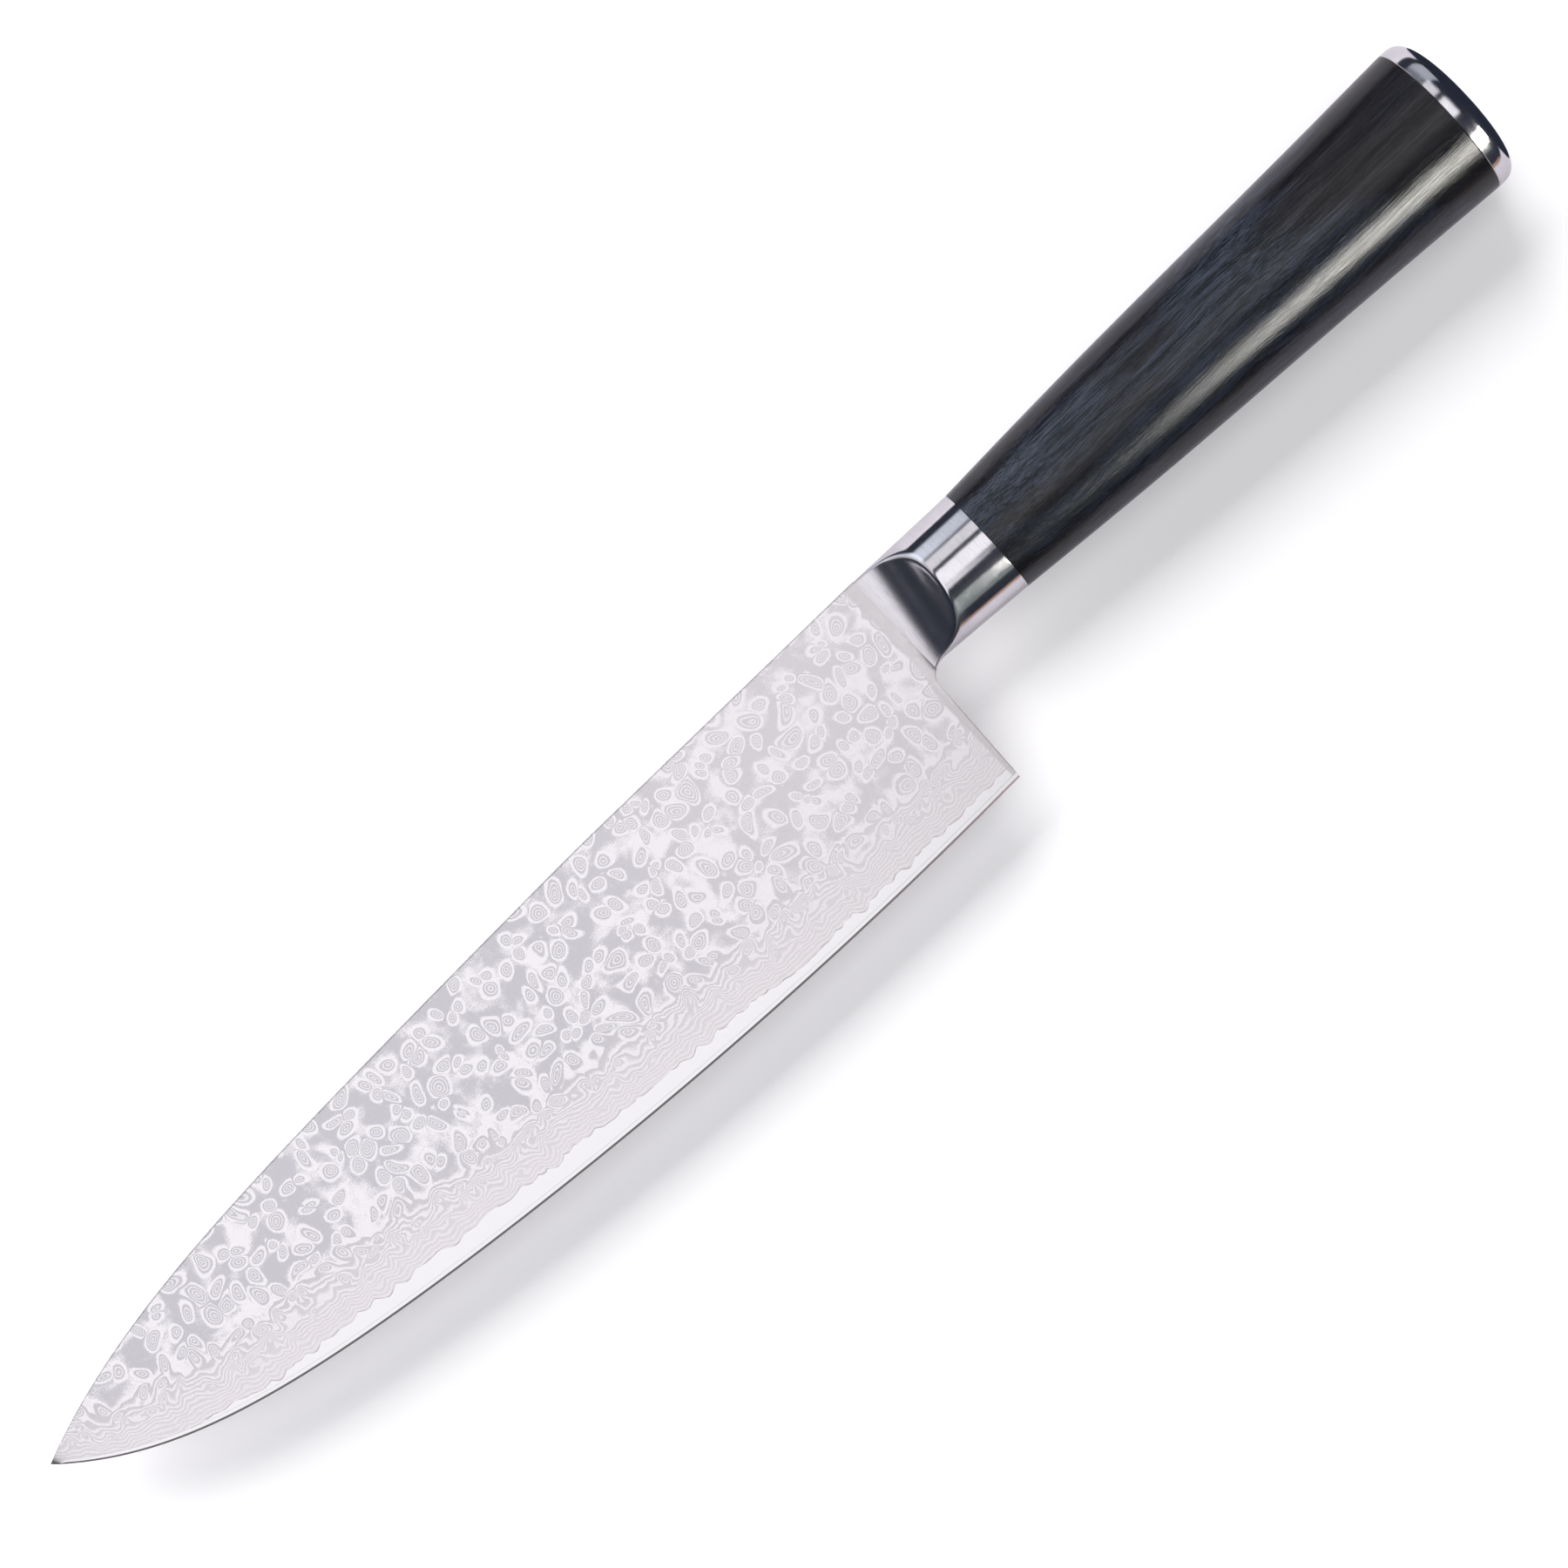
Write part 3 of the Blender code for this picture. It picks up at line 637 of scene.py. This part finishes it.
def layered_material():
    """Etched layered steel. A field gives the depth, in layers, that the flank has been ground to.

    It rises in a cone at each punched dimple, which shows as an eye of rings, wanders between them, and
    climbs down the flank's lower part until the grind leaves the layers and reaches the core.
    """
    n = Nodes("layered_steel")
    flat = n.place()
    x = n.axes(flat)[0]
    above = n.attribute("above_edge")
    behind = n.attribute("behind_heel")
    wander = n.noise(flat, 0.12, detail=1.0, color=True)
    here = n.vector("ADD", flat, n.vector("MULTIPLY", wander, (6.0, 6.0, 0.0)))

    # The strip of bare core: its width along the blade, and the scallops that end it
    strip = 2.9 + n.ease(x, 0.0, -90.0) * 1.7 - n.ease(x, -92.0, -174.0) * 4.9
    bites = n.noise(n.vector("MULTIPLY", flat, (1.0, 0.4, 0.0)), 0.26, detail=0.0)
    scallop = n.math("ABSOLUTE", bites - 0.5)
    height = above - strip + scallop * 3.6 + (n.noise(flat, 0.09, detail=1.0) - 0.5) * 2.4

    # Eyes: each dimple's cone, and a light halo where the flank round it comes to the depth of its foot
    centre = n.dimples(here, "Position")
    dice = n.axes(n.dimples(here, "Color"))
    border = n.dimples(here, "Distance", feature="DISTANCE_TO_EDGE") / DIMPLES_PER_MM
    turned = n.add("ShaderNodeVectorRotate", rotation_type="Z_AXIS")
    n.plug(turned.inputs["Vector"], n.vector("SUBTRACT", here, centre))
    n.plug(turned.inputs["Angle"], dice[0] * math.tau)
    stretch = n.join(1.0, 1.05 + dice[2] * 0.5, 0.0)
    reach = n.vector("LENGTH", n.vector("MULTIPLY", Wire(n, turned.outputs[0]), stretch), out=1)
    room = n.dimples(here, "Radius", feature="N_SPHERE_RADIUS") / DIMPLES_PER_MM
    size = n.math("SMOOTH_MIN", 0.9 + dice[1] * 0.95, room + 0.1, 0.3)
    within = size - reach
    cone = n.math("MAXIMUM", within, 0.0)
    lively = n.ease(height, 0.0, 8.0)
    halo = n.ease(within, -0.95, 0.0) * n.ease(border, 0.0, 0.3) * lively

    # The forged layers' own swell, and the climb of the layers down the flank and up to the heel
    swell = 0.4 + n.noise(here, 0.21, detail=2.0, roughness=0.55) * 1.9
    swell = swell + (EYE_FOOT - swell) * halo
    ripple = (n.noise(n.vector("MULTIPLY", here, (0.8, 1.0, 0.0)), 0.21, detail=1.0) - 0.5) * 7.0
    rippled = height + ripple * n.ease(height, 0.0, 7.0)
    grind = n.math("SMOOTH_MIN", rippled, GRIND_TOP, 5.5) * -LAYERS_PER_MM
    heel = n.math("EXPONENT", n.math("MINIMUM", behind, 0.5) * 0.8) * 0.7
    depth = swell + cone * RINGS_PER_MM * lively + grind + heel

    # Each layer starts feathered and ends sharp
    fuzz = n.noise(n.vector("MULTIPLY", flat, (5.0, 4.0, 1.0)), 1.0, detail=2.0) - 0.5
    layer = n.math("FRACT", depth)
    light = n.ease(layer + fuzz * 0.5, 0.26, 0.66) * (1.0 - n.ease(layer + fuzz * 0.15, 0.86, 0.99))
    light = light * (1.0 - n.ease(cone, 0.0, 0.3) * 0.2)
    calm = n.ease(height, 0.0, 14.0) * n.ease(x, 12.0, -50.0, 0.5, 1.0)
    grey = n.mix(calm, (0.715, 0.685, 0.70), (0.565, 0.55, 0.58))
    bright = n.mix(calm, (0.755, 0.725, 0.74), (0.81, 0.79, 0.805))
    speck = fuzz * 0.12
    tone = n.vector("ADD", n.mix(light, grey, bright), n.join(speck, speck, speck))

    # Plain steel ahead of the bolster and along the heel's back
    plain = n.ease(behind, -0.3, 0.3)
    tone = n.mix(plain, tone, PLAIN_STEEL)

    # Bare core with painted shade: a broken dark line above it, for the step where the outer layers end, and
    # a dark rim along the heel's and the choil's outline, for the plate's edge turning away
    bare = n.ease(height, 0.03, -0.03) * (1.0 - plain)
    broken = n.ease(n.noise(flat, 0.5), 0.42, 0.56)
    # painted shade along the step above the bare core, broken up at random
    outline = n.ease(height, 0.20, 0.06) * (1.0 - bare) * broken * (1.0 - plain)
    tone = n.mix(outline * 0.8, tone, STEP_SHADE_LINE)
    tone = n.mix(bare, tone, BARE_STEEL)
    # painted shade along the heel's and the choil's outline, where the plate's edge turns away
    rim = n.ease(n.attribute("inside_outline"), 0.16, 0.10) * n.ease(above, 1.0, 2.0)
    tone = n.mix(rim, tone, SHADED_RIM)
    rough = 0.27 - (light * (1.0 - bare) * 0.04 + bare * 0.07)
    relief = n.math("MAXIMUM", light * calm * (1.0 - bare), bare)
    return n.finish(
        Base_Color=tone,
        Metallic=1.0,
        Roughness=rough,
        Normal=n.bump(relief, 0.003, 0.4),
    )


def polished_material():
    """Buffed steel. Faint scratches run around the handle, so they spread reflections along it."""
    n = Nodes("polished_steel")
    place = n.place()
    scratches = n.noise(n.vector("MULTIPLY", place, (7, 0.35, 0.35)), 1.0, detail=4, roughness=0.7)
    dents = n.noise(place, 0.22, detail=2)
    spots = n.noise(place, 0.4, detail=3)
    x = n.axes(place)[0]
    in_scoop = n.ease(x, ORIGIN.x + 13.5, ORIGIN.x + 11.0)
    tone = n.mix(n.ease(spots, 0.3, 0.7), (0.71, 0.69, 0.72), (0.75, 0.73, 0.76))
    tone = n.mix(in_scoop * 0.8, tone, (0.65, 0.63, 0.665))
    front = n.ease(x, ORIGIN.x + 4.6, ORIGIN.x + 2.3)
    tone = n.mix(front * 0.8, tone, (0.58, 0.555, 0.575))
    streak = n.ease(scratches, 0.52, 0.72) * 0.12
    tone = n.vector("SUBTRACT", tone, n.join(streak, streak, streak))
    return n.finish(
        Base_Color=tone,
        Metallic=1.0,
        Roughness=n.ease(scratches, 0.2, 0.8, 0.09, 0.15) + in_scoop * 0.07,
        Normal=n.bump(scratches * 0.35 + dents, 0.02),
    )


def wood_material():
    """Dyed, resin-filled wood, ground and buffed: blue-black, with brown heartwood in places."""
    n = Nodes("resin_wood")
    place = n.place(turn=DROOP)
    bend = n.noise(n.vector("MULTIPLY", place, (0.025, 0.03, 0.03)), 1.0, detail=1.0) * 3.5
    sway = n.vector("ADD", place, n.join(0.0, bend, bend))
    figure = n.noise(n.vector("MULTIPLY", sway, (0.03, 0.14, 0.14)), 1.0, detail=3.0)
    fibre = n.noise(n.vector("MULTIPLY", sway, (0.10, 4.6, 4.6)), 1.0, detail=3.0, roughness=0.62)
    streak = n.noise(n.vector("MULTIPLY", sway, (0.05, 0.9, 0.9)), 1.0, detail=3.0, roughness=0.6)
    rays = n.noise(n.vector("MULTIPLY", place, (1.2, 5.0, 5.0)), 1.0, detail=2.0)

    # Brown heartwood comes in towards the butt, from a point
    x, y, _ = n.axes(n.place())
    along = x - ORIGIN.x + (figure - 0.5) * 30.0
    off_middle = n.math("ABSOLUTE", y - (ORIGIN.y - 8.0))
    heartwood = n.ease(along - off_middle * 1.4, 98.0, 101.0)
    blue = n.ease(figure, 0.36, 0.56) * (1.0 - heartwood * 0.85)
    dark = n.mix(blue, (0.0014, 0.0012, 0.0015), (0.0016, 0.0022, 0.0038))
    pale = n.mix(blue, (0.013, 0.0125, 0.0155), (0.027, 0.033, 0.049))
    shade = n.ease(fibre * 0.6 + streak * 0.28 + rays * 0.12, 0.40, 0.63)
    tone = n.mix(shade * (1.0 - heartwood * 0.2), dark, pale)
    return n.finish(
        Base_Color=tone,
        Metallic=0.0,
        Roughness=n.ease(fibre, 0.35, 0.65, 0.26, 0.08),
        Normal=n.bump(fibre + rays * 0.2, 0.024),
        Specular_IOR_Level=0.42,
    )


def plain_steel_material():
    n = Nodes("machined_steel")
    lines = n.noise(n.place(scale=(8, 0.6, 0.6)), 1.0, detail=3)
    return n.finish(
        Base_Color=n.mix(lines, (0.42, 0.43, 0.45), (0.60, 0.61, 0.63)),
        Metallic=1.0,
        Roughness=n.ease(lines, 0.2, 0.8, 0.30, 0.45),
        Normal=n.bump(lines, 0.004),
    )


def epoxy_material():
    n = Nodes("cured_epoxy")
    clouds = n.noise(n.place(), 0.35, detail=4)
    return n.finish(
        Base_Color=n.mix(clouds, (0.30, 0.19, 0.07), (0.50, 0.37, 0.18)),
        Roughness=n.ease(clouds, 0.3, 0.7, 0.25, 0.4),
        Normal=n.bump(clouds, 0.05),
    )


# Floor, lights and camera


# Metres
FLOOR_HALF = 3.0
CARD_HALF, CARD_LIFT = 0.4, 0.0002
CARD_PAST_TIP, CARD_PAST_BUTT = 0.03, 0.001
FAN_HALF = 0.011       # half of the card's gap where it starts, at the butt

FLOOR_COLOUR = (0.92, 0.92, 0.92, 1.0)
CARD_COLOUR = (0.585, 0.566, 0.597, 1.0)


def make_floor():
    """A pale floor, and a card on it that stands in for the floor in reflections.

    The card is cut away in a fan behind the butt, which leaves the end cap's rim dark.
    """
    body = bmesh.new()
    bmesh.ops.create_grid(body, x_segments=1, y_segments=1, size=FLOOR_HALF)
    paint = Nodes("pale_floor").finish(Base_Color=FLOOR_COLOUR, Roughness=0.9)
    floor = add_piece("floor", body, paint)
    floor.visible_glossy = False

    tip, butt = cad_box[0][0] - CARD_PAST_TIP, cad_box[1][0] + CARD_PAST_BUTT
    middle = (HANDLE_LINES @ Vector((GRIP_LENGTH, 0.0, 0.0))).y
    near, far, side = middle - FAN_HALF, middle + FAN_HALF, CARD_HALF
    body = bmesh.new()
    for corners in (
        [(tip, -side), (butt, -side), (butt, side), (tip, side)],
        [(butt, far), (butt + side, side), (butt, side)],
        [(butt, near), (butt + side, -side), (butt, -side)],
    ):
        body.faces.new([body.verts.new((x, y, CARD_LIFT)) for x, y in corners])
    paint = Nodes("reflected_floor").finish(Base_Color=CARD_COLOUR, Roughness=0.9)
    card = add_piece("reflected_floor", body, paint)
    card.visible_camera = False
    card.visible_diffuse = False
    card.visible_shadow = False


AIM_X, AIM_Y = -29.8, -16.6     # the picture's middle, in the knife's own millimetres
CAMERA_HEIGHT = 0.815
FRAME_WIDTH = 0.267
SENSOR_WIDTH = 36.0
CAMERA_TURN = math.radians(-44)


def make_camera():
    camera = bpy.data.cameras.new("camera")
    camera.sensor_width = SENSOR_WIDTH
    camera.lens = SENSOR_WIDTH * CAMERA_HEIGHT / FRAME_WIDTH
    holder = bpy.data.objects.new("camera", camera)
    holder.location = BLADE_LINES @ Vector((AIM_X, AIM_Y, 0.0)) + Vector((0, 0, CAMERA_HEIGHT))
    holder.rotation_euler = (0, 0, CAMERA_TURN)
    bpy.context.collection.objects.link(holder)
    bpy.context.scene.camera = holder


PANELS_X = 15.0        # in the bolster; the panels' ends are measured from here


def add_light(name, angles, ends, strength, colour, diffuse=False, distance=1.2):
    """A long panel beside the knife, between two angles from straight up (on the spine's side if positive).

    Its ends are in metres, towards the butt if positive. A panel shows only as a reflection; one that is
    diffuse isn't reflected and lights the floor and the wood.
    """
    middle = math.radians(sum(angles) / 2)
    spread = math.radians(angles[1] - angles[0])
    light = bpy.data.lights.new(name, "AREA")
    light.shape = "RECTANGLE"
    light.size = ends[1] - ends[0]
    light.size_y = 2 * distance * math.tan(spread / 2)
    light.energy = strength * math.pi * light.size * light.size_y
    light.color = colour
    holder = bpy.data.objects.new(name, light)
    bolster = BLADE_LINES @ Vector((PANELS_X, AIM_Y, 0.0))
    direction = Vector((0, math.sin(middle), math.cos(middle)))
    holder.location = bolster + Vector((sum(ends) / 2, 0, 0)) + direction * distance
    holder.rotation_euler = (-middle, 0, 0)
    holder.visible_camera = False
    holder.visible_diffuse = diffuse
    holder.visible_glossy = not diffuse
    bpy.context.collection.objects.link(holder)


WHITE, COOL, GREEN = (1.0, 0.985, 1.0), (0.86, 0.92, 1.0), (0.85, 1.0, 0.90)
WARM, ORANGE = (1.0, 0.97, 0.90), (1.0, 0.55, 0.3)
WORLD_COLOUR, WORLD_STRENGTH = (0.53, 0.65, 1.0, 1.0), 0.047


def make_lights():
    """Panels whose reflections make the bands on the bolster, the scoop, the cap and the wood.

    The first four are stacks of three, which add up; their ends are staggered, so a stack fades in steps.
    """
    world = bpy.data.worlds.new("studio")
    world.use_nodes = True
    background = world.node_tree.nodes["Background"]
    background.inputs["Color"].default_value = WORLD_COLOUR
    background.inputs["Strength"].default_value = WORLD_STRENGTH
    bpy.context.scene.world = world
    for k, reach in enumerate((-0.85, -0.96, -1.08)):
        near = 1.2 + 0.01 * k
        add_light(f"top_panel_{k}", (-6, 13), (reach, 0.50), 0.40, WHITE, distance=near)
        add_light(f"blade_panel_{k}", (-14, -6.2), (reach, 0.03), 0.40, WHITE, distance=near)
        add_light(f"grey_panel_{k}", (20, 38), (reach, 0.50), 0.29, WHITE, distance=near)
        add_light(f"blue_box_{k}", (38 + 3 * k, 65 + 3 * k), (-1.2, 0.15 * k), 0.42, COOL, distance=near)
    add_light("green_wall", (-62, -33), (-1.2, 0.6), 0.20, GREEN)
    add_light("tip_wall", (26, 72), (-2.6, -1.28), 0.75, WHITE, distance=1.3)
    add_light("butt_wall", (36, 72), (0.42, 1.5), 0.52, COOL, distance=1.3)
    add_light("strip", (-52.5, -34), (0.14, 0.9), 21.0, WARM, distance=1.15)
    add_light("warm_wall", (-90.5, -87), (-1.0, 0.6), 0.7, ORANGE)
    add_light("key", (36, 87), (-0.7, 0.7), 6.6, WHITE, diffuse=True)
    add_light("fill", (-60, 20), (-1.3, 1.3), 1.37, WHITE, diffuse=True, distance=1.5)


def main():
    materials = {
        "core": core_material(),
        "layers": layered_material(),
        "polished": polished_material(),
        "wood": wood_material(),
        "plain": plain_steel_material(),
        "epoxy": epoxy_material(),
    }
    make_blade(materials)
    make_bolster(materials)
    make_grip(materials)
    make_end_cap(materials)
    inside = {"tang_rod": "plain", "tang_washer": "plain", "tang_nut": "plain", "tang_epoxy": "epoxy"}
    for node, kind in inside.items():
        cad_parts[node].material_slots[0].material = materials[kind]
    make_floor()
    make_lights()
    make_camera()
    bpy.context.scene.view_settings.view_transform = "Standard"


main()
